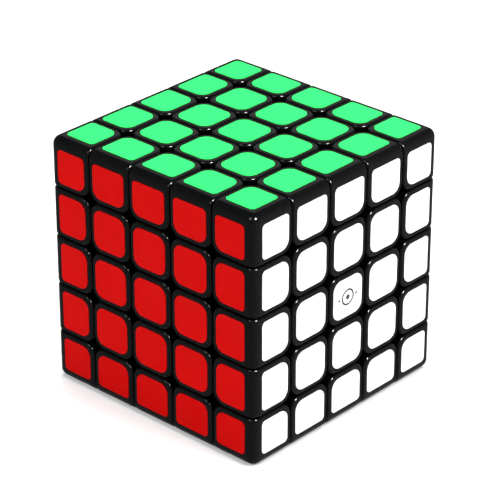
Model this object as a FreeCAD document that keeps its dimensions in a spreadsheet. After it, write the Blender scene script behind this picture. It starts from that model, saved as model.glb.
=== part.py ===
import FreeCAD, Part
import math
import os

import Sketcher
from FreeCAD import Placement, Rotation, Vector

# Twisty puzzle cube with five layers a side.  Origin at the centre of the core, +Z up through the
# green face, -Y through the red face, +X through the white face.  Millimetres.
#
# Ninety-eight cubies sit round a small six-armed core.  Each cubie fills the room between two or more
# surfaces of revolution, which are the same about all six half axes, so any layer can turn about its
# axis past the next one.  Each surface steps sideways at a sphere.  Below the step the outer piece has
# a foot that reaches under its inner neighbour's shoulder, so every cubie is held in by the one nearer
# the middle of its face, and the six fixed centres are held by spring-loaded screws in the core.

DIMENSIONS = {
    # The layers, measured from the middle of the cube
    "face_half": (31.0, "bare plastic face"),
    "first_cut": (6.2, "cut between the middle slice and the next layer"),
    "second_cut": (18.6, "cut between that layer and the outer one"),
    "clearance": (0.15, "what each piece gives up along a cut: half the gap"),
    # The stepped cuts inside, which make the feet
    "first_hook": (23.0, "radius of the step of the first cut"),
    "first_foot": (4.0, "height of the first cut below its step"),
    "second_hook": (27.0, "radius of the step of the second cut"),
    "foot_angle": (63.0, "half angle of the second cut's cone below its step, degrees"),
    "neck_reach": (29.5, "distance from the axis at which the second cut starts to slope"),
    "neck_angle": (33.0, "slope of the second cut above its step, degrees"),
    "tool_reach": (60.0, "size of the cutting bodies, clear of the cube"),
    # How far in from the outside each kind's foot goes, as a radius
    "corner_end": (21.5, "corner"),
    "wing_end": (20.0, "wing"),
    "middle_edge_end": (18.0, "middle edge"),
    "x_end": (17.0, "x centre"),
    "plus_end": (15.5, "plus centre"),
    "centre_end": (12.0, "fixed centre"),
    # How far from the middle each kind of cubie is solid outside its own cell
    "corner_web": (36.0, "corner"),
    "edge_web": (30.0, "wing and middle edge"),
    "x_web": (28.5, "x centre"),
    "plus_web": (26.0, "plus centre"),
    "centre_web": (24.0, "fixed centre"),
    # Rounding of the cells
    "cube_edge_radius": (2.2, "outer edges of the cube"),
    "junction_radius": (3.0, "cell corners that face their neighbours"),
    "rim_radius": (0.6, "rim along each gap"),
    "wall": (1.2, "plastic round the hollow of a cubie"),
    "room_floor": (25.0, "floor of the hollow of an x centre or plus centre"),
    "room_side": (14.5, "outer side of that hollow"),
    # Stickers
    "sticker_thick": (0.1, "vinyl"),
    "sticker_inset": (1.38, "sticker edge to the cut between two layers"),
    "sticker_margin": (2.68, "sticker edge to the outside of the cube"),
    "sticker_round": (2.35, "sticker corners that face a junction"),
    "sticker_nip": (1.05, "sticker corners next to the cube's edge"),
    # Fixed centres, their caps and their screws
    "cap_seat": (29.3, "top of a fixed centre, under its cap"),
    "cap_gap": (0.05, "air between a cap and its centre"),
    "plug_depth": (1.8, "how far the cap's plug goes into the well"),
    "plug_wall": (0.8, "wall of the plug"),
    "well_radius": (3.0, "well for the spring and the screw's head"),
    "well_floor": (17.0, "bottom of the well"),
    "bore_radius": (1.7, "hole for the screw below the well"),
    "screw_radius": (1.2, "shank"),
    "screw_end": (5.5, "inner end of the shank"),
    "head_radius": (2.5, "screw head"),
    "head_seat": (22.4, "underside of the head"),
    "head_height": (1.9, "screw head"),
    "slot_width": (0.7, "cross recess"),
    "slot_length": (2.8, "cross recess"),
    "slot_depth": (1.1, "cross recess"),
    "washer_radius": (2.8, "outside"),
    "washer_hole": (1.4, "inside"),
    "washer_thick": (0.4, "washer"),
    "spring_radius": (2.1, "centre line of the coil"),
    "wire_radius": (0.25, "spring wire"),
    "spring_pitch": (1.08, "from turn to turn, compressed"),
    "spring_air": (0.02, "air at each end of the spring"),
    # Core
    "core_radius": (11.8, "ends of the six arms"),
    "hub_radius": (8.6, "middle of the core"),
    "arm_radius": (4.2, "arms"),
    "core_bore": (1.25, "threaded hole in each arm"),
    "core_bore_end": (4.6, "bottom of that hole"),
}

KINDS = {
    # Cell of the master piece, counted in layers from the middle, and the sizes of its web and its foot
    "corner": ((2, 2, 2), "corner_web", "corner_end"),
    "wing": ((1, 2, 2), "edge_web", "wing_end"),
    "middle_edge": ((0, 2, 2), "edge_web", "middle_edge_end"),
    "x_centre": ((1, 1, 2), "x_web", "x_end"),
    "plus_centre": ((0, 1, 2), "plus_web", "plus_end"),
    "centre": ((0, 0, 2), "centre_web", "centre_end"),
}
LAYERS = {2: "top_layer", 1: "upper_slice", 0: "middle_slice", -1: "lower_slice", -2: "bottom_layer"}
FACES = {
    (0, 0, 1): ("top", "green"),
    (0, -1, 0): ("front", "red"),
    (1, 0, 0): ("right", "white"),
    (0, 1, 0): ("back", "orange"),
    (-1, 0, 0): ("left", "yellow"),
    (0, 0, -1): ("bottom", "blue"),
}
AXES = (Vector(1, 0, 0), Vector(0, 1, 0), Vector(0, 0, 1))
# The sides of a cell along an axis, by its count from the middle
LOW = (
    "-(dims.first_cut - dims.clearance)",
    "dims.first_cut + dims.clearance",
    "dims.second_cut + dims.clearance",
)
HIGH = ("dims.first_cut - dims.clearance", "dims.second_cut - dims.clearance", "dims.face_half")
OVER = 1  # how far a cutting body runs past the surface it cuts
COIL_STEP = 0.125  # turns of the spring that one face of it covers

doc = FreeCAD.newDocument("puzzle_cube")
nodes = []


def make_sheet():
    """The driving dimensions, one alias a row."""
    sheet = doc.addObject("Spreadsheet::Sheet", "dims")
    for row, (alias, (value, meaning)) in enumerate(DIMENSIONS.items(), start=1):
        sheet.set(f"A{row}", alias)
        sheet.set(f"B{row}", str(value))
        sheet.set(f"C{row}", meaning)
        sheet.setAlias(f"B{row}", alias)
    doc.recompute()
    return sheet


def bind(thing, **formulas):
    """Set properties of a document object from the sheet; __ stands for a dot in the property's path."""
    for path, formula in formulas.items():
        thing.setExpression(path.replace("__", "."), formula)
    return thing


def make(kind, name, **formulas):
    """A document object with its sizes bound to the sheet."""
    return bind(doc.addObject(kind, name), **formulas)


def combine(kind, name, shapes):
    """A boolean of several objects."""
    result = doc.addObject(kind, name)
    result.Shapes, result.Refine = shapes, True
    return result


def cut(name, base, tool):
    """One object less another."""
    result = doc.addObject("Part::Cut", name)
    result.Base, result.Tool, result.Refine = base, tool, True
    return result


def linked(source, name, placement):
    """The same piece again, somewhere else."""
    link = doc.addObject("App::Link", name)
    link.LinkedObject = source
    link.LinkTransform = True
    link.Placement = placement
    return link


def node(name, pieces):
    """A finished node: the placed copies of one or more pieces."""
    group = doc.addObject("Part::Compound", name)
    group.Label = name
    group.Links = pieces
    nodes.append(group)
    return group


# ---------------------------------------------------------------- cutting bodies


def sketch_in(body, name):
    """An empty sketch on the body's XZ plane."""
    sketch = body.newObject("Sketcher::SketchObject", name)
    plane = next(item for item in body.Origin.OriginFeatures if item.Role == "XZ_Plane")
    sketch.AttachmentSupport = [(plane, "")]
    sketch.MapMode = "FlatFace"
    return sketch


def chain(sketch, points, arc_at):
    """A closed outline through the points.  The piece after point arc_at is an arc round the origin."""
    for index, start in enumerate(points):
        end = points[(index + 1) % len(points)]
        if index == arc_at:
            radius = start.Length
            circle = Part.Circle(Vector(0, 0, 0), Vector(0, 0, 1), radius)
            sketch.addGeometry(Part.ArcOfCircle(circle, circle.parameter(start), circle.parameter(end)))
        else:
            sketch.addGeometry(Part.LineSegment(start, end))
    for index in range(len(points)):
        following = (index + 1) % len(points)
        sketch.addConstraint(Sketcher.Constraint("Coincident", index, 2, following, 1))
    sketch.addConstraint(Sketcher.Constraint("Coincident", arc_at, 3, -1, 1))


def fix(sketch, formula, *parts):
    """A driving dimension of a sketch, bound to the sheet."""
    index = sketch.addConstraint(Sketcher.Constraint(*parts))
    sketch.renameConstraint(index, f"d{index}")
    sketch.setExpression(f"Constraints.d{index}", formula)


def revolve(body, sketch):
    """Turn the outline once round the body's Z axis."""
    solid = body.newObject("PartDesign::Revolution", body.Name + "_turned")
    solid.Profile = sketch
    solid.ReferenceAxis = (sketch, ["V_Axis"])
    solid.Angle = 360
    body.Tip = solid


def close_outline(sketch, first, far):
    """The straight sides that every cutting body shares, from the outline's piece number first."""
    for index, way in ((first, "Horizontal"), (first + 1, "Vertical"), (first + 2, "Horizontal")):
        sketch.addConstraint(Sketcher.Constraint(way, index))
    sketch.addConstraint(Sketcher.Constraint("Vertical", first + 3))
    sketch.addConstraint(Sketcher.Constraint("PointOnObject", 0, 1, -2))
    fix(sketch, "dims.tool_reach", "DistanceX", -1, 1, first, 2, far)
    fix(sketch, "dims.tool_reach", "DistanceY", -1, 1, first + 1, 2, far)


def beyond_first_cut(name, side, size):
    """All that lies outside the first cut of the +Z axis; side +1 takes the clearance off, -1 adds it."""
    body = doc.addObject("PartDesign::Body", name)
    sketch = sketch_in(body, name + "_outline")
    far, foot, level = size("tool_reach"), size("first_foot"), size("first_cut")
    hook = size("first_hook")
    points = [
        Vector(0, foot, 0),
        Vector((hook**2 - foot**2) ** 0.5, foot, 0),
        Vector((hook**2 - level**2) ** 0.5, level, 0),
        Vector(far, level, 0),
        Vector(far, far, 0),
        Vector(0, far, 0),
    ]
    chain(sketch, points, arc_at=1)
    sketch.addConstraint(Sketcher.Constraint("Horizontal", 0))
    close_outline(sketch, 2, far)
    fix(sketch, f"dims.first_foot + {side} * dims.clearance", "DistanceY", -1, 1, 0, 1, foot)
    fix(sketch, f"dims.first_hook - {side} * dims.clearance", "Radius", 1, hook)
    fix(sketch, f"dims.first_cut + {side} * dims.clearance", "DistanceY", -1, 1, 2, 2, level)
    revolve(body, sketch)
    return body


def beyond_second_cut(name, side, size):
    """All that lies outside the second cut of the +Z axis; side +1 takes the clearance off, -1 adds it."""
    body = doc.addObject("PartDesign::Body", name)
    sketch = sketch_in(body, name + "_outline")
    far, level = size("tool_reach"), size("second_cut")
    reach, hook = size("neck_reach"), size("second_hook")
    foot, neck = math.radians(90 - size("foot_angle")), math.radians(size("neck_angle"))
    points = [
        Vector(0, 0, 0),
        Vector(hook * math.cos(foot), hook * math.sin(foot), 0),
        Vector(hook * math.cos(neck), hook * math.sin(neck), 0),
        Vector(reach, level, 0),
        Vector(far, level, 0),
        Vector(far, far, 0),
        Vector(0, far, 0),
    ]
    chain(sketch, points, arc_at=1)
    close_outline(sketch, 3, far)
    tip = f"{side} * dims.clearance / sin(dims.foot_angle * 1deg)"
    fix(sketch, tip, "DistanceY", -1, 1, 0, 1, side * size("clearance"))
    fix(sketch, "(90 - dims.foot_angle) * 1deg", "Angle", -1, 1, 0, 1, foot)
    fix(sketch, f"dims.second_hook - {side} * dims.clearance", "Radius", 1, hook)
    fix(sketch, f"dims.second_cut + {side} * dims.clearance", "DistanceY", -1, 1, 2, 2, level)
    fix(sketch, "dims.neck_reach", "DistanceX", -1, 1, 2, 2, reach)
    fix(sketch, "dims.neck_angle * 1deg", "Angle", -1, 1, 2, 1, neck)
    revolve(body, sketch)
    return body


# ---------------------------------------------------------------- cubies


def edges_where(shape, wanted):
    """Names of the edges that a test picks."""
    return [f"Edge{number}" for number, edge in enumerate(shape.Edges, start=1) if wanted(edge)]


def round_off(body, name, radius, wanted):
    """Fillet the picked edges of the body's last feature."""
    base = body.Tip
    fillet = body.newObject("PartDesign::Fillet", name)
    fillet.Base = (base, edges_where(base.Shape, wanted))
    fillet.setExpression("Radius", radius)
    body.Tip = fillet
    doc.recompute()


def ends_on(edge, axis, level):
    """Whether either end of an edge lies at this level of an axis."""
    return any(abs(vertex.Point[axis] - level) < 1e-4 for vertex in edge.Vertexes)


def lies_on(edge, axis, level):
    """Whether a whole edge lies at this level of an axis."""
    box = edge.BoundBox
    low, high = ((box.XMin, box.XMax), (box.YMin, box.YMax), (box.ZMin, box.ZMax))[axis]
    return abs(low - level) < 1e-4 and abs(high - level) < 1e-4


def cell_block(kind, cell, size):
    """The part of a cubie that shows: its cell, rounded as the outside of the cube is."""
    body = doc.addObject("PartDesign::Body", kind + "_block")
    box = body.newObject("PartDesign::AdditiveBox", kind + "_box")
    for letter, length, index in zip("xyz", ("Length", "Width", "Height"), cell):
        box.setExpression(length, f"{HIGH[index]} - ({LOW[index]})")
        box.setExpression(f"Placement.Base.{letter}", LOW[index])
    body.Tip = box
    doc.recompute()
    face = size("face_half")
    outer = [axis for axis in range(3) if cell[axis] == 2]

    def faces_met(edge):
        return [axis for axis in outer if lies_on(edge, axis, face)]

    round_off(
        body, kind + "_junctions", "dims.junction_radius",
        lambda edge: not faces_met(edge) and any(ends_on(edge, axis, face) for axis in outer),
    )
    if len(outer) > 1:
        round_off(body, kind + "_edges", "dims.cube_edge_radius", lambda edge: len(faces_met(edge)) > 1)
    gap = size("clearance")
    low = (-size("first_cut") + gap, size("first_cut") + gap, size("second_cut") + gap)
    high = (size("first_cut") - gap, size("second_cut") - gap, face)
    sides = [(axis, low[cell[axis]]) for axis in range(3)]
    sides += [(axis, high[cell[axis]]) for axis in range(3) if axis not in outer]
    junction = size("junction_radius")

    def on_rim(edge):
        """An edge between what shows outside and a side wall, or round a junction, near the outside."""
        along_side = any(lies_on(edge, axis, level) for axis, level in sides)
        centre = edge.CenterOfMass
        near = max(centre[axis] for axis in outer) > face - size("rim_radius")
        round_corner = bool(faces_met(edge)) and edge.Length < 2 * junction
        return near and (along_side or round_corner)

    round_off(body, kind + "_rims", "dims.rim_radius", on_rim)
    return body


def turn_to(axis):
    """The turn that takes +Z to a half axis."""
    return Placement(Vector(0, 0, 0), Rotation(Vector(0, 0, 1), axis))


def cubie(kind, tools, size):
    """One whole cubie: its rounded block and its web, shaped by the cuts that bound its cell."""
    cell, web, end = KINDS[kind]
    block = cell_block(kind, cell, size)
    ball = make("Part::Sphere", kind + "_ball", Radius=f"dims.{web}")
    ball.Placement = turn_to(AXES[0])
    blank = combine("Part::MultiFuse", kind + "_blank", [ball, block])
    keep, drop = [blank], [make("Part::Sphere", kind + "_foot_end", Radius=f"dims.{end}")]
    for axis, index in zip(AXES, cell):
        for way in (axis, axis * -1) if index == 0 else (axis,):
            turned = turn_to(way)
            where = f"{kind}_{len(keep) + len(drop)}"
            if index > 0:
                keep.append(linked(tools["keep", index], "keep_" + where, turned))
            if index < 2:
                drop.append(linked(tools["drop", index + 1], "drop_" + where, turned))
    body = combine("Part::MultiCommon", kind + "_shaped", keep)
    for number, tool in enumerate(drop):
        body = cut(f"{kind}_cut_{number}", body, tool)
    return body


def hollow(kind, body):
    """The cubie with the room inside its shell taken out."""
    cell = KINDS[kind][0]
    room = doc.addObject("Part::Box", kind + "_room")
    for axis, (letter, length, index) in enumerate(zip("xyz", ("Length", "Width", "Height"), cell)):
        low, high = f"{LOW[index]} + dims.wall", f"{HIGH[index]} - dims.wall"
        if 1 in cell and cell.count(2) == 1:
            # The feet of the outer layer's pieces reach in under these, so the room stays above them
            low = "dims.room_floor" if axis == 2 else low
            high = "dims.room_side" if index == 1 else high
        room.setExpression(length, f"({high}) - ({low})")
        room.setExpression(f"Placement.Base.{letter}", low)
    return cut(kind + "_hollow", body, room)


def make_tools(size):
    """The cutting bodies: what to keep beyond each cut, and what to drop beyond it, with clearance."""
    return {
        ("keep", 1): beyond_first_cut("keep_beyond_first", 1, size),
        ("drop", 1): beyond_first_cut("drop_beyond_first", -1, size),
        ("keep", 2): beyond_second_cut("keep_beyond_second", 1, size),
        ("drop", 2): beyond_second_cut("drop_beyond_second", -1, size),
    }


# ---------------------------------------------------------------- stickers


def sticker(name, cell, size):
    """One sticker of the top face, for the cell at the middle of a face, of an edge or at a corner."""
    body = doc.addObject("PartDesign::Body", name)
    box = body.newObject("PartDesign::AdditiveBox", name + "_sheet")
    middle = "dims.first_cut - dims.sticker_inset"
    spans = {0: (f"-({middle})", middle),
             2: ("dims.second_cut + dims.sticker_inset", "dims.face_half - dims.sticker_margin")}
    for letter, length, index in zip("xy", ("Length", "Width"), cell):
        low, high = spans[index]
        box.setExpression(length, f"({high}) - ({low})")
        box.setExpression(f"Placement.Base.{letter}", low)
    bind(box, Height="dims.sticker_thick", Placement__Base__z="dims.face_half")
    body.Tip = box
    doc.recompute()
    outside = size("face_half") - size("sticker_margin")

    def upright(edge):
        return edge.BoundBox.ZLength > 0.5 * size("sticker_thick")

    def near_edge(edge):
        return any(ends_on(edge, axis, outside) for axis in (0, 1))

    round_off(body, name + "_round", "dims.sticker_round", lambda edge: upright(edge) and not near_edge(edge))
    if 2 in cell:
        round_off(body, name + "_nip", "dims.sticker_nip", lambda edge: upright(edge) and near_edge(edge))
    return body


# ---------------------------------------------------------------- centres, screws and core


def cylinder(name, radius, low, high):
    """An upright cylinder on the +Z axis between two heights."""
    return make("Part::Cylinder", name, Radius=radius, Height=f"({high}) - ({low})", Placement__Base__z=low)


def slab(name, half, low, high, half_y=None):
    """An upright box on the +Z axis between two heights."""
    half_y = half_y or half
    return make(
        "Part::Box", name, Length=f"2 * ({half})", Width=f"2 * ({half_y})", Height=f"({high}) - ({low})",
        Placement__Base__x=f"-({half})", Placement__Base__y=f"-({half_y})", Placement__Base__z=low,
    )


def fixed_centre(body):
    """The centre that a screw holds: a square column with a bore, a well above it and a seat for the cap."""
    bore = cylinder("centre_bore", "dims.bore_radius", "0", "dims.well_floor")
    well = cylinder("centre_well", "dims.well_radius", "dims.well_floor", "dims.face_half")
    top = slab("centre_top", "dims.first_cut", "dims.cap_seat", f"dims.face_half + {OVER}")
    return cut("centre_piece", body, combine("Part::MultiFuse", "centre_cuts", [bore, well, top]))


def centre_cap():
    """The snap-in cap of a fixed centre: a rounded plate with a short tube that plugs the well."""
    seat = "dims.cap_seat + dims.cap_gap"
    above = slab("cap_room", "dims.first_cut", seat, f"dims.face_half + {OVER}")
    plate = combine("Part::MultiCommon", "cap_plate", [doc.getObject("centre_block"), above])
    outside = "dims.well_radius - dims.cap_gap"
    plug = cylinder("cap_plug", outside, "dims.cap_seat - dims.plug_depth", seat)
    hole = cylinder("cap_hole", f"{outside} - dims.plug_wall", "dims.cap_seat - dims.plug_depth", seat)
    return combine("Part::MultiFuse", "cap_piece", [plate, cut("cap_tube", plug, hole)])


def screw():
    """A pan-head screw with a cross recess."""
    shank = cylinder("screw_shank", "dims.screw_radius", "dims.screw_end", "dims.head_seat")
    head = cylinder("screw_head", "dims.head_radius", "dims.head_seat", "dims.head_seat + dims.head_height")
    blank = combine("Part::MultiFuse", "screw_blank", [shank, head])
    top = "dims.head_seat + dims.head_height"
    narrow, wide = "dims.slot_width / 2", "dims.slot_length / 2"
    bars = [
        slab("screw_slot_x", wide, f"{top} - dims.slot_depth", f"{top} + {OVER}", narrow),
        slab("screw_slot_y", narrow, f"{top} - dims.slot_depth", f"{top} + {OVER}", wide),
    ]
    return cut("screw_piece", blank, combine("Part::MultiFuse", "screw_cross", bars))


def washer():
    """The flat washer between the spring and the screw's head."""
    low, high = "dims.head_seat - dims.washer_thick", "dims.head_seat"
    disc = cylinder("washer_disc", "dims.washer_radius", low, high)
    return cut("washer_piece", disc, cylinder("washer_bore", "dims.washer_hole", low, high))


def spring():
    """The compressed coil spring between the floor of the well and the washer."""
    start = "dims.well_floor + dims.wire_radius + dims.spring_air"
    end = "dims.head_seat - dims.washer_thick - dims.wire_radius - dims.spring_air"
    path = make(
        "Part::Helix", "spring_path", Pitch="dims.spring_pitch", Radius="dims.spring_radius",
        Height=f"({end}) - ({start})", Placement__Base__z=start,
    )
    wire = make(
        "Part::Circle", "spring_wire", Radius="dims.wire_radius",
        Placement__Base__x="dims.spring_radius", Placement__Base__z=start,
    )
    path.SegmentLength = COIL_STEP
    wire.Placement = Placement(wire.Placement.Base, Rotation(Vector(1, 0, 0), 90))
    coil = doc.addObject("Part::Sweep", "spring_piece")
    coil.Sections, coil.Spine, coil.Solid, coil.Frenet = [wire], (path, []), True, True
    return coil


def core():
    """The six-armed core that all six screws thread into."""
    bar = cylinder("core_bar", "dims.arm_radius", "-dims.centre_end", "dims.centre_end")
    bars = [linked(bar, f"core_arm_{number}", turn_to(axis)) for number, axis in enumerate(AXES)]
    hub = make("Part::Sphere", "core_hub", Radius="dims.hub_radius")
    rough = combine("Part::MultiFuse", "core_rough", [*bars, hub])
    ends = make("Part::Sphere", "core_ends", Radius="dims.core_radius")
    blank = combine("Part::MultiCommon", "core_blank", [rough, ends])
    bore = cylinder("core_bore", "dims.core_bore", "dims.core_bore_end", "dims.centre_end")
    bores = [linked(bore, f"core_bore_{number}", turn_to(Vector(*face))) for number, face in enumerate(FACES)]
    return cut("core_piece", blank, combine("Part::MultiFuse", "core_bores", bores))


# ---------------------------------------------------------------- assembly


def all_turns():
    """The twenty-four turns that take a cube to itself."""
    quarter = [Rotation(Vector(0, 0, 1), 90 * number) for number in range(4)]
    return [turn_to(Vector(*face)).Rotation * turn for face in FACES for turn in quarter]


def whole(vector):
    """A vector's components as whole numbers."""
    return tuple(round(part) for part in vector)


def place_cubies(masters):
    """All ninety-eight cubies, as {cell: (kind, link)}."""
    placed = {}
    for kind, (home, *_) in KINDS.items():
        for turn in all_turns():
            cell = whole(turn.multVec(Vector(*home)))
            if cell not in placed:
                name = f"{kind}_{len(placed)}"
                placed[cell] = (kind, linked(masters[kind], name, Placement(Vector(0, 0, 0), turn)))
    return placed


def place_stickers(masters, pitch):
    """All one hundred and fifty stickers, as {(layer, face): [links]}."""
    placed = {}
    faces_done = set()
    for turn in all_turns():
        face = whole(turn.multVec(Vector(0, 0, 1)))
        homes = [("corner_sticker", (0, 0), (2, 2, 2))]
        homes += [("edge_sticker", (step, 0), (step, 2, 2)) for step in (-1, 0, 1)]
        if face not in faces_done:
            steps = [(across, up) for across in (-1, 0, 1) for up in (-1, 0, 1)]
            homes += [("centre_sticker", step, (*step, 2)) for step in steps]
            faces_done.add(face)
        for kind, step, home in homes:
            layer = whole(turn.multVec(Vector(*home)))[2]
            shift = turn.multVec(Vector(step[0] * pitch, step[1] * pitch, 0))
            group = placed.setdefault((layer, face), [])
            name = f"{FACES[face][1]}_{kind}_{layer + 2}_{len(group)}"
            group.append(linked(masters[kind], name, Placement(shift, turn)))
    return placed


def corner_name(cell):
    """What a person would call the corner in this cell."""
    words = ("top" if cell[2] > 0 else "bottom", "front" if cell[1] < 0 else "back",
             "left" if cell[0] < 0 else "right")
    return "_".join(words) + "_corner"


def all_around(piece, name):
    """Six copies of a piece, one on each half axis."""
    return [linked(piece, f"{name}_{words[0]}", turn_to(Vector(*face))) for face, words in FACES.items()]


def build():
    """The whole puzzle, one node a piece or a group of equal pieces of one layer."""
    sheet = make_sheet()

    def size(alias):
        return float(sheet.get(alias))

    tools = make_tools(size)
    doc.recompute()
    masters = {}
    for kind in KINDS:
        body = cubie(kind, tools, size)
        masters[kind] = fixed_centre(body) if kind == "centre" else hollow(kind, body)
    masters["corner_sticker"] = sticker("corner_sticker", (2, 2), size)
    masters["edge_sticker"] = sticker("edge_sticker", (0, 2), size)
    masters["centre_sticker"] = sticker("centre_sticker", (0, 0), size)

    groups = {}
    for cell, (kind, link) in place_cubies(masters).items():
        if kind == "corner":
            name = corner_name(cell)
        elif kind == "centre":
            name = FACES[tuple(part // 2 for part in cell)][0] + "_centre"
        else:
            name = f"{LAYERS[cell[2]]}_{kind}s"
        groups.setdefault(name, []).append(link)
    for (layer, face), links in place_stickers(masters, 2 * size("first_cut")).items():
        side, colour = FACES[face]
        where = colour + "_face" if side in ("top", "bottom") else f"{LAYERS[layer]}_{colour}"
        groups[where + "_stickers"] = links
    for name, links in groups.items():
        node(name, links)

    caps = all_around(centre_cap(), "cap")
    node("top_centre_cap", caps[:1])
    node("side_centre_caps", caps[1:-1])
    node("bottom_centre_cap", caps[-1:])
    node("tension_screws", all_around(screw(), "screw"))
    node("tension_springs", all_around(spring(), "spring"))
    node("spring_washers", all_around(washer(), "washer"))
    core_piece = core()
    node("core_spider", [linked(core_piece, "core_at_centre", Placement())])
    doc.recompute()


def check():
    """Stop if any object failed, or any node is not made of sound solids."""
    for item in doc.Objects:
        if {"Invalid", "Error"} & set(item.State):
            raise RuntimeError(f"{item.Name} failed: {item.State}")
    for item in nodes:
        if item.Shape.isNull() or not item.Shape.isValid() or len(item.Shape.Solids) != len(item.Links):
            raise RuntimeError(f"{item.Label} is not {len(item.Links)} sound solids")


build()
check()
os.makedirs("parts", exist_ok=True)
for item in nodes:
    item.Shape.exportStep(f"parts/{item.Label}.step")
    print(f"{item.Label}: {len(item.Shape.Solids)} solids, {item.Shape.Volume / 1000:.2f} cm3")
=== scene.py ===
import math

import bmesh
import bpy
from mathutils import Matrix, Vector


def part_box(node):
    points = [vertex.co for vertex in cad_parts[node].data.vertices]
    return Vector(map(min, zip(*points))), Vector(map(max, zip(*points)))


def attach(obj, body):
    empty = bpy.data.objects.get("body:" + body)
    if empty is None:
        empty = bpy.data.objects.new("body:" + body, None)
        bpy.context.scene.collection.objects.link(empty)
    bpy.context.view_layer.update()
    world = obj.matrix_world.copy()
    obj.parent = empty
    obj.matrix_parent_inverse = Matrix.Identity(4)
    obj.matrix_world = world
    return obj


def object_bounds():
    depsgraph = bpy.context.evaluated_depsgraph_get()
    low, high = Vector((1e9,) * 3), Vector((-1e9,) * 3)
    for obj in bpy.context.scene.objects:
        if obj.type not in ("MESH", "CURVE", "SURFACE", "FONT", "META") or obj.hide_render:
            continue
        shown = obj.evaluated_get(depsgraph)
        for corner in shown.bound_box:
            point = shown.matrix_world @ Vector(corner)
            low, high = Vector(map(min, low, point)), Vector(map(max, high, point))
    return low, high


# The looks of the puzzle cube: glossy black moulded cubies, vinyl stickers, a printed ring on the white
# centre, and the metal and nylon inside. Everything is in metres in the part's own frame.

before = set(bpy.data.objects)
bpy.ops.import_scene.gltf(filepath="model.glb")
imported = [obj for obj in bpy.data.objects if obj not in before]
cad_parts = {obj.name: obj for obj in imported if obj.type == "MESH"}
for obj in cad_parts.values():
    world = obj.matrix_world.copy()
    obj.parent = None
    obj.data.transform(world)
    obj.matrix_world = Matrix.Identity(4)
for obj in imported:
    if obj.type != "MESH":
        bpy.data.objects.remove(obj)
CAD_LOW, CAD_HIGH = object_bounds()
# From one layer to the next: twice the height of the middle of the gap over the middle slice
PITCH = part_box("middle_slice_red_stickers")[1].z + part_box("upper_slice_red_stickers")[0].z
MM = 0.001

# Colours, linear
BLACK = (0.0012, 0.0014, 0.0016, 1)
BLACK_WORN = (0.010, 0.0105, 0.011, 1)
STICKERS = {
    "green": (0.032, 0.88, 0.136, 1),
    "red": (0.414, 0.0003, 0.0001, 1),
    "white": (0.88, 0.88, 0.88, 1),
    "orange": (0.90, 0.16, 0.008, 1),
    "yellow": (0.90, 0.72, 0.012, 1),
    "blue": (0.006, 0.060, 0.42, 1),
}
NYLON = (0.72, 0.71, 0.66, 1)
STEEL = (0.55, 0.55, 0.56, 1)
STEEL_DULL = (0.42, 0.42, 0.44, 1)
INK = (0.018, 0.018, 0.020, 1)
INK_THIN = (0.035, 0.035, 0.038, 1)
PAPER = (0.93, 0.93, 0.93, 1)
METALS = ("tension_screws", "tension_springs", "spring_washers")

# How finely the CAD meshes are joined and rounded before they are shaded
WELD = 0.001 * MM
STICKER_BEVEL = 0.03 * MM
BEVEL_ANGLE = math.radians(40)
FLAT_WEIGHT = 80  # over 50, a large face counts for more than its area where faces share a normal

# The printed mark: a ring, a dot in its middle and a bar on both sides
INK_THICK = 0.012 * MM
RING_OUTSIDE, RING_INSIDE, DOT = 2.05 * MM, 1.6 * MM, 0.62 * MM
BAR_NEAR, BAR_FAR, BAR_HALF = 2.5 * MM, 3.3 * MM, 0.22 * MM
CIRCLE_SIDES = 72

# The room round the cube: how brightly it lights surfaces, what they mirror of it below and high up, and
# how many times as bright that is towards the bright side of the room, in degrees round the cube
AMBIENT, BELOW, ABOVE = 0.14, 0.15, 0.055
BRIGHT_SIDE, BRIGHTER = 137, 2.0
FLOOR_REACH = 6.0

# Softboxes: degrees round the cube and above the horizon, distance, width, height, power, and whether the
# cube mirrors the light or is lit by it
LIGHTS = {
    "key": (95, 50, 1.2, 0.7, 0.7, 18, False),
    "fill": (-15, 35, 1.3, 0.8, 0.6, 14, False),
    "top": (200, 75, 1.2, 0.6, 0.6, 12, False),
    "key_glint": (84, 46, 1.2, 0.28, 0.28, 20, True),
    "fill_glint": (-2, 45, 1.2, 0.45, 0.45, 2, True),
    "ceiling": (222, 34, 1.3, 1.3, 0.6, 0.55, True),
}

# Camera: round the cube, above the horizon, in degrees, how far from its centre, and where it aims
AZIMUTH, ELEVATION, DISTANCE = 42.35, 27.38, 0.5758
LENS = 180.2
AIM_RIGHT, AIM_UP = 1.22 * MM, 0.78 * MM
CLIP_NEAR, CLIP_FAR = 0.01, 20


def place(thing):
    """Put a new object in the scene."""
    bpy.context.scene.collection.objects.link(thing)
    return thing


def direction(azimuth, elevation):
    """From the cube's centre, round from -Y towards +X and above the horizon, in degrees."""
    a, e = math.radians(azimuth), math.radians(elevation)
    return Vector((math.sin(a) * math.cos(e), -math.cos(a) * math.cos(e), math.sin(e)))


def darker(colour, share):
    """A colour at a share of its brightness."""
    return (*(share * part for part in colour[:3]), 1)


# ---------------------------------------------------------------- shader helpers


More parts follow.
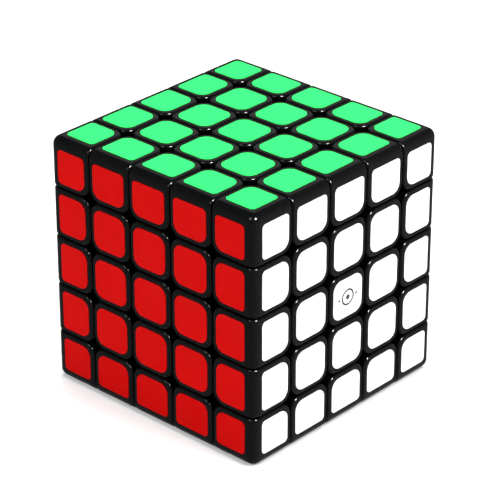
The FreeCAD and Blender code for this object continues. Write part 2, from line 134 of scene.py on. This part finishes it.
class Nodes:
    """The node tree of a material or of the world, with one method a kind of node."""

    def __init__(self, tree):
        self.tree = tree

    def node(self, kind, **settings):
        """A new node with its settings."""
        made = self.tree.nodes.new(kind)
        for key, value in settings.items():
            setattr(made, key, value)
        return made

    def put(self, socket, value):
        """Set a socket to a number or colour, or link it."""
        if isinstance(value, bpy.types.NodeSocket):
            self.tree.links.new(value, socket)
        else:
            socket.default_value = value

    def math(self, operation, a, b, clamp=False):
        """Arithmetic on two numbers."""
        node = self.node("ShaderNodeMath", operation=operation, use_clamp=clamp)
        self.put(node.inputs[0], a)
        self.put(node.inputs[1], b)
        return node.outputs[0]

    def vector(self, operation, a, b):
        """Arithmetic on two vectors."""
        node = self.node("ShaderNodeVectorMath", operation=operation)
        self.put(node.inputs[0], a)
        self.put(node.inputs[1], b)
        return node.outputs["Value" if operation == "DOT_PRODUCT" else "Vector"]

    def spread(self, value, low, high, to_low, to_high):
        """Map one range to another, clamped."""
        node = self.node("ShaderNodeMapRange")
        self.put(node.inputs["Value"], value)
        for key, number in zip(("From Min", "From Max", "To Min", "To Max"), (low, high, to_low, to_high)):
            node.inputs[key].default_value = number
        return node.outputs["Result"]

    def mix(self, share, a, b, kind="RGBA"):
        """Between two colours or numbers."""
        node = self.node("ShaderNodeMix", data_type=kind)
        self.put(node.inputs["Factor"], share)
        self.put(node.inputs["A"], a)
        self.put(node.inputs["B"], b)
        return node.outputs["Result"]


class Shader(Nodes):
    """A material under construction."""

    def __init__(self, name):
        self.material = bpy.data.materials.new(name)
        self.material.use_nodes = True
        super().__init__(self.material.node_tree)
        self.surface = self.tree.nodes["Principled BSDF"]
        self.position = self.node("ShaderNodeTexCoord").outputs["Object"]

    def constants(self, **values):
        """Numbers that are the same all over the surface."""
        for key, value in values.items():
            self.surface.inputs[key.replace("_", " ")].default_value = value

    def noise(self, size, detail=2.0, rough=0.5):
        """Noise whose blobs are about this many metres across."""
        node = self.node("ShaderNodeTexNoise")
        self.put(node.inputs["Vector"], self.position)
        for key, value in (("Scale", 1 / size), ("Detail", detail), ("Roughness", rough)):
            node.inputs[key].default_value = value
        return node.outputs["Fac"]

    def bump(self, height, depth, below=None):
        """Relief of this depth in metres, on top of any relief below."""
        node = self.node("ShaderNodeBump")
        node.inputs["Distance"].default_value = depth
        node.inputs["Strength"].default_value = 1.0
        self.put(node.inputs["Height"], height)
        if below is not None:
            self.put(node.inputs["Normal"], below)
        return node.outputs["Normal"]

    def edges(self, radius):
        """How sharply the surface turns within this distance: 0 on a flat, towards 1 on an edge."""
        bevel = self.node("ShaderNodeBevel", samples=4)
        bevel.inputs["Radius"].default_value = radius
        flat = self.node("ShaderNodeNewGeometry").outputs["Normal"]
        return self.spread(self.vector("DOT_PRODUCT", bevel.outputs["Normal"], flat), 1.0, 0.90, 0.0, 1.0)

    def per_cubie(self):
        """A number from 0 to 1 that is the same all over one cubie."""
        scale = self.node("ShaderNodeVectorMath", operation="SCALE")
        self.put(scale.inputs[0], self.position)
        scale.inputs["Scale"].default_value = 1 / PITCH
        cell = self.vector("SNAP", self.vector("ADD", scale.outputs[0], (0.5, 0.5, 0.5)), (1, 1, 1))
        random = self.node("ShaderNodeTexWhiteNoise", noise_dimensions="3D")
        self.put(random.inputs["Vector"], cell)
        return random.outputs["Value"]

    def finish(self, colour, roughness, normal=None):
        """The finished material."""
        self.put(self.surface.inputs["Base Color"], colour)
        self.put(self.surface.inputs["Roughness"], roughness)
        if normal is not None:
            self.put(self.surface.inputs["Normal"], normal)
        return self.material


# ---------------------------------------------------------------- materials


def moulded_abs():
    """Black ABS: a fine spark-eroded grain, handling marks, and rims rubbed smooth and slightly grey."""
    s = Shader("moulded_abs")
    s.constants(Specular_IOR_Level=0.5)
    worn = s.math("MULTIPLY", s.edges(0.35 * MM), s.spread(s.noise(3 * MM, 4), 0.42, 0.70, 0.0, 0.8))
    handled = s.spread(s.noise(9 * MM, 5, 0.6), 0.35, 0.70, 0.11, 0.18)
    varied = s.math("ADD", handled, s.spread(s.per_cubie(), 0, 1, -0.02, 0.03))
    roughness = s.math("SUBTRACT", varied, s.math("MULTIPLY", worn, 0.06), clamp=True)
    grain = s.bump(s.noise(0.16 * MM, 3, 0.6), 0.0022 * MM)
    waves = s.bump(s.noise(5 * MM, 1), 0.012 * MM, below=grain)
    return s.finish(s.mix(worn, BLACK, BLACK_WORN), roughness, waves)


def vinyl(name, colour):
    """A coloured vinyl sticker: slight orange peel, and faint mottling that differs from cubie to cubie."""
    s = Shader(f"vinyl_{name}")
    s.constants(Specular_IOR_Level=0.025)
    deep = darker(colour, 0.95)
    mottled = s.mix(s.spread(s.noise(6 * MM, 4), 0.35, 0.65, 0, 1), colour, deep)
    tinted = s.mix(s.spread(s.per_cubie(), 0, 1, 0, 0.5), mottled, deep)
    roughness = s.spread(s.noise(2.5 * MM, 4, 0.6), 0.3, 0.7, 0.36, 0.46)
    peel = s.bump(s.noise(0.9 * MM, 2), 0.004 * MM)
    fine = s.bump(s.noise(0.12 * MM, 2), 0.0012 * MM, below=peel)
    return s.finish(tinted, roughness, fine)


def nylon():
    """The core's natural nylon."""
    s = Shader("moulded_nylon")
    s.constants(Specular_IOR_Level=0.4)
    colour = s.mix(s.noise(4 * MM, 3), NYLON, darker(NYLON, 0.88))
    roughness = s.spread(s.noise(1 * MM, 3), 0.3, 0.7, 0.45, 0.6)
    return s.finish(colour, roughness, s.bump(s.noise(0.3 * MM, 3), 0.01 * MM))


def zinc_steel():
    """Zinc-plated steel of the screws, springs and washers."""
    s = Shader("zinc_steel")
    s.constants(Metallic=1.0)
    colour = s.mix(s.noise(1.2 * MM, 4), STEEL, STEEL_DULL)
    roughness = s.spread(s.noise(0.5 * MM, 4), 0.3, 0.7, 0.22, 0.42)
    return s.finish(colour, roughness, s.bump(s.noise(0.1 * MM, 3), 0.002 * MM))


def print_ink():
    """Dark screen-printing ink."""
    s = Shader("print_ink")
    s.constants(Specular_IOR_Level=0.3)
    colour = s.mix(s.noise(0.4 * MM, 3), INK, INK_THIN)
    return s.finish(colour, s.spread(s.noise(0.3 * MM, 2), 0, 1, 0.4, 0.55))


def floor_paper():
    """The pale paper that the cube stands on."""
    s = Shader("floor_paper")
    s.constants(Specular_IOR_Level=0.2)
    return s.finish(s.mix(s.noise(0.2, 2), PAPER, darker(PAPER, 0.985)), 0.9)


# ---------------------------------------------------------------- CAD nodes


def dress(node, material, bevel=None):
    """Give a CAD node its material, and shade its faces as one skin."""
    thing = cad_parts[node]
    thing.data.materials.clear()
    thing.data.materials.append(material)
    thing.modifiers.new("weld", "WELD").merge_threshold = WELD
    if bevel:
        rounded = thing.modifiers.new("bevel", "BEVEL")
        rounded.width, rounded.segments = bevel, 2
        rounded.limit_method, rounded.angle_limit = "ANGLE", BEVEL_ANGLE
    shade = thing.modifiers.new("shade", "WEIGHTED_NORMAL")
    shade.keep_sharp, shade.weight = True, FLAT_WEIGHT


def dress_all():
    """Every CAD node in its own material."""
    plastic, core, steel = moulded_abs(), nylon(), zinc_steel()
    vinyls = {colour: vinyl(colour, value) for colour, value in STICKERS.items()}
    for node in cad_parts:
        colour = next((word for word in STICKERS if word in node.split("_")), None)
        if colour:
            dress(node, vinyls[colour], bevel=STICKER_BEVEL)
        elif node == "core_spider":
            dress(node, core)
        elif node in METALS:
            dress(node, steel)
        else:
            dress(node, plastic)


# ---------------------------------------------------------------- printed mark


def circle(radius):
    """Points round a circle."""
    turns = [math.tau * number / CIRCLE_SIDES for number in range(CIRCLE_SIDES)]
    return [(radius * math.cos(turn), radius * math.sin(turn)) for turn in turns]


def add_print(mesh, outline, inner=None):
    """A flat printed shape: a ring between two closed outlines, or a filled one when there is no inner."""
    loops = []
    for points in filter(None, (outline, inner)):
        loops.append([[mesh.verts.new((x, y, z)) for y, z in points] for x in (0, INK_THICK)])
    for index in range(len(outline)):
        after = (index + 1) % len(outline)
        for low, high in loops:
            mesh.faces.new((low[index], low[after], high[after], high[index]))
        if inner:
            for out, into in zip(*loops):
                mesh.faces.new((out[index], out[after], into[after], into[index]))
    if not inner:
        for level in loops[0]:
            mesh.faces.new(level)


def make_mark():
    """A generic printed ring and dot between two short bars, on the white centre sticker."""
    mesh = bmesh.new()
    add_print(mesh, circle(RING_OUTSIDE), circle(RING_INSIDE))
    add_print(mesh, circle(DOT))
    for side in (-1, 1):
        near, far = side * BAR_NEAR, side * BAR_FAR
        add_print(mesh, [(near, -BAR_HALF), (far, -BAR_HALF), (far, BAR_HALF), (near, BAR_HALF)])
    bmesh.ops.recalc_face_normals(mesh, faces=mesh.faces)
    data = bpy.data.meshes.new("centre_mark")
    mesh.to_mesh(data)
    mesh.free()
    data.materials.append(print_ink())
    mark = place(bpy.data.objects.new("centre_mark", data))
    mark.location = (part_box("middle_slice_white_stickers")[1].x, 0, 0)
    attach(mark, "core_and_middle_slice")


# ---------------------------------------------------------------- stage


def make_floor():
    """A wide pale floor under the cube."""
    far, low = FLOOR_REACH, CAD_LOW.z
    mesh = bpy.data.meshes.new("floor")
    corners = [(-far, -far, low), (far, -far, low), (far, far, low), (-far, far, low)]
    mesh.from_pydata(corners, [], [(0, 1, 2, 3)])
    mesh.materials.append(floor_paper())
    floor = place(bpy.data.objects.new("floor", mesh))
    floor.visible_glossy = False


def make_world():
    """A white room to the camera, a dim one to surfaces, and one with shades to what mirrors it."""
    world = bpy.data.worlds.new("studio")
    bpy.context.scene.world = world
    world.use_nodes = True
    s = Nodes(world.node_tree)
    background = s.tree.nodes["Background"]
    background.inputs["Color"].default_value = (1, 1, 1, 1)
    ray = s.node("ShaderNodeLightPath").outputs
    looking = s.node("ShaderNodeTexCoord").outputs["Generated"]
    height = s.vector("DOT_PRODUCT", looking, (0, 0, 1))
    aside = s.vector("DOT_PRODUCT", looking, direction(BRIGHT_SIDE, 0))
    by_height = s.spread(height, -0.1, 0.85, BELOW, ABOVE)
    mirrored = s.math("MULTIPLY", by_height, s.spread(aside, -0.2, 0.95, 1, BRIGHTER))
    unseen = s.mix(ray["Is Glossy Ray"], AMBIENT, mirrored, kind="FLOAT")
    s.put(background.inputs["Strength"], s.mix(ray["Is Camera Ray"], unseen, 1.0, kind="FLOAT"))


def area_light(name, azimuth, elevation, distance, width, height, power, glossy):
    """A softbox that faces the cube from this direction, for its reflections or for the rest of its light."""
    light = bpy.data.lights.new(name, "AREA")
    light.shape, light.size, light.size_y, light.energy = "RECTANGLE", width, height, power
    holder = place(bpy.data.objects.new(name, light))
    holder.location = direction(azimuth, elevation) * distance
    holder.rotation_euler = (-holder.location).to_track_quat("-Z", "Y").to_euler()
    holder.visible_glossy, holder.visible_diffuse = glossy, not glossy


def make_camera():
    """A level camera, above the front right edge of the cube."""
    camera = place(bpy.data.objects.new("camera", bpy.data.cameras.new("camera")))
    back = direction(AZIMUTH, ELEVATION)
    turn = (-back).to_track_quat("-Z", "Y")
    right, up = turn @ Vector((1, 0, 0)), turn @ Vector((0, 1, 0))
    camera.location = back * DISTANCE + right * AIM_RIGHT + up * AIM_UP
    camera.rotation_mode = "QUATERNION"
    camera.rotation_quaternion = turn
    camera.data.lens = LENS
    camera.data.clip_start, camera.data.clip_end = CLIP_NEAR, CLIP_FAR
    bpy.context.scene.camera = camera


dress_all()
make_mark()
make_floor()
make_world()
for name, settings in LIGHTS.items():
    area_light(name, *settings)
make_camera()
bpy.context.scene.view_settings.view_transform = "Standard"
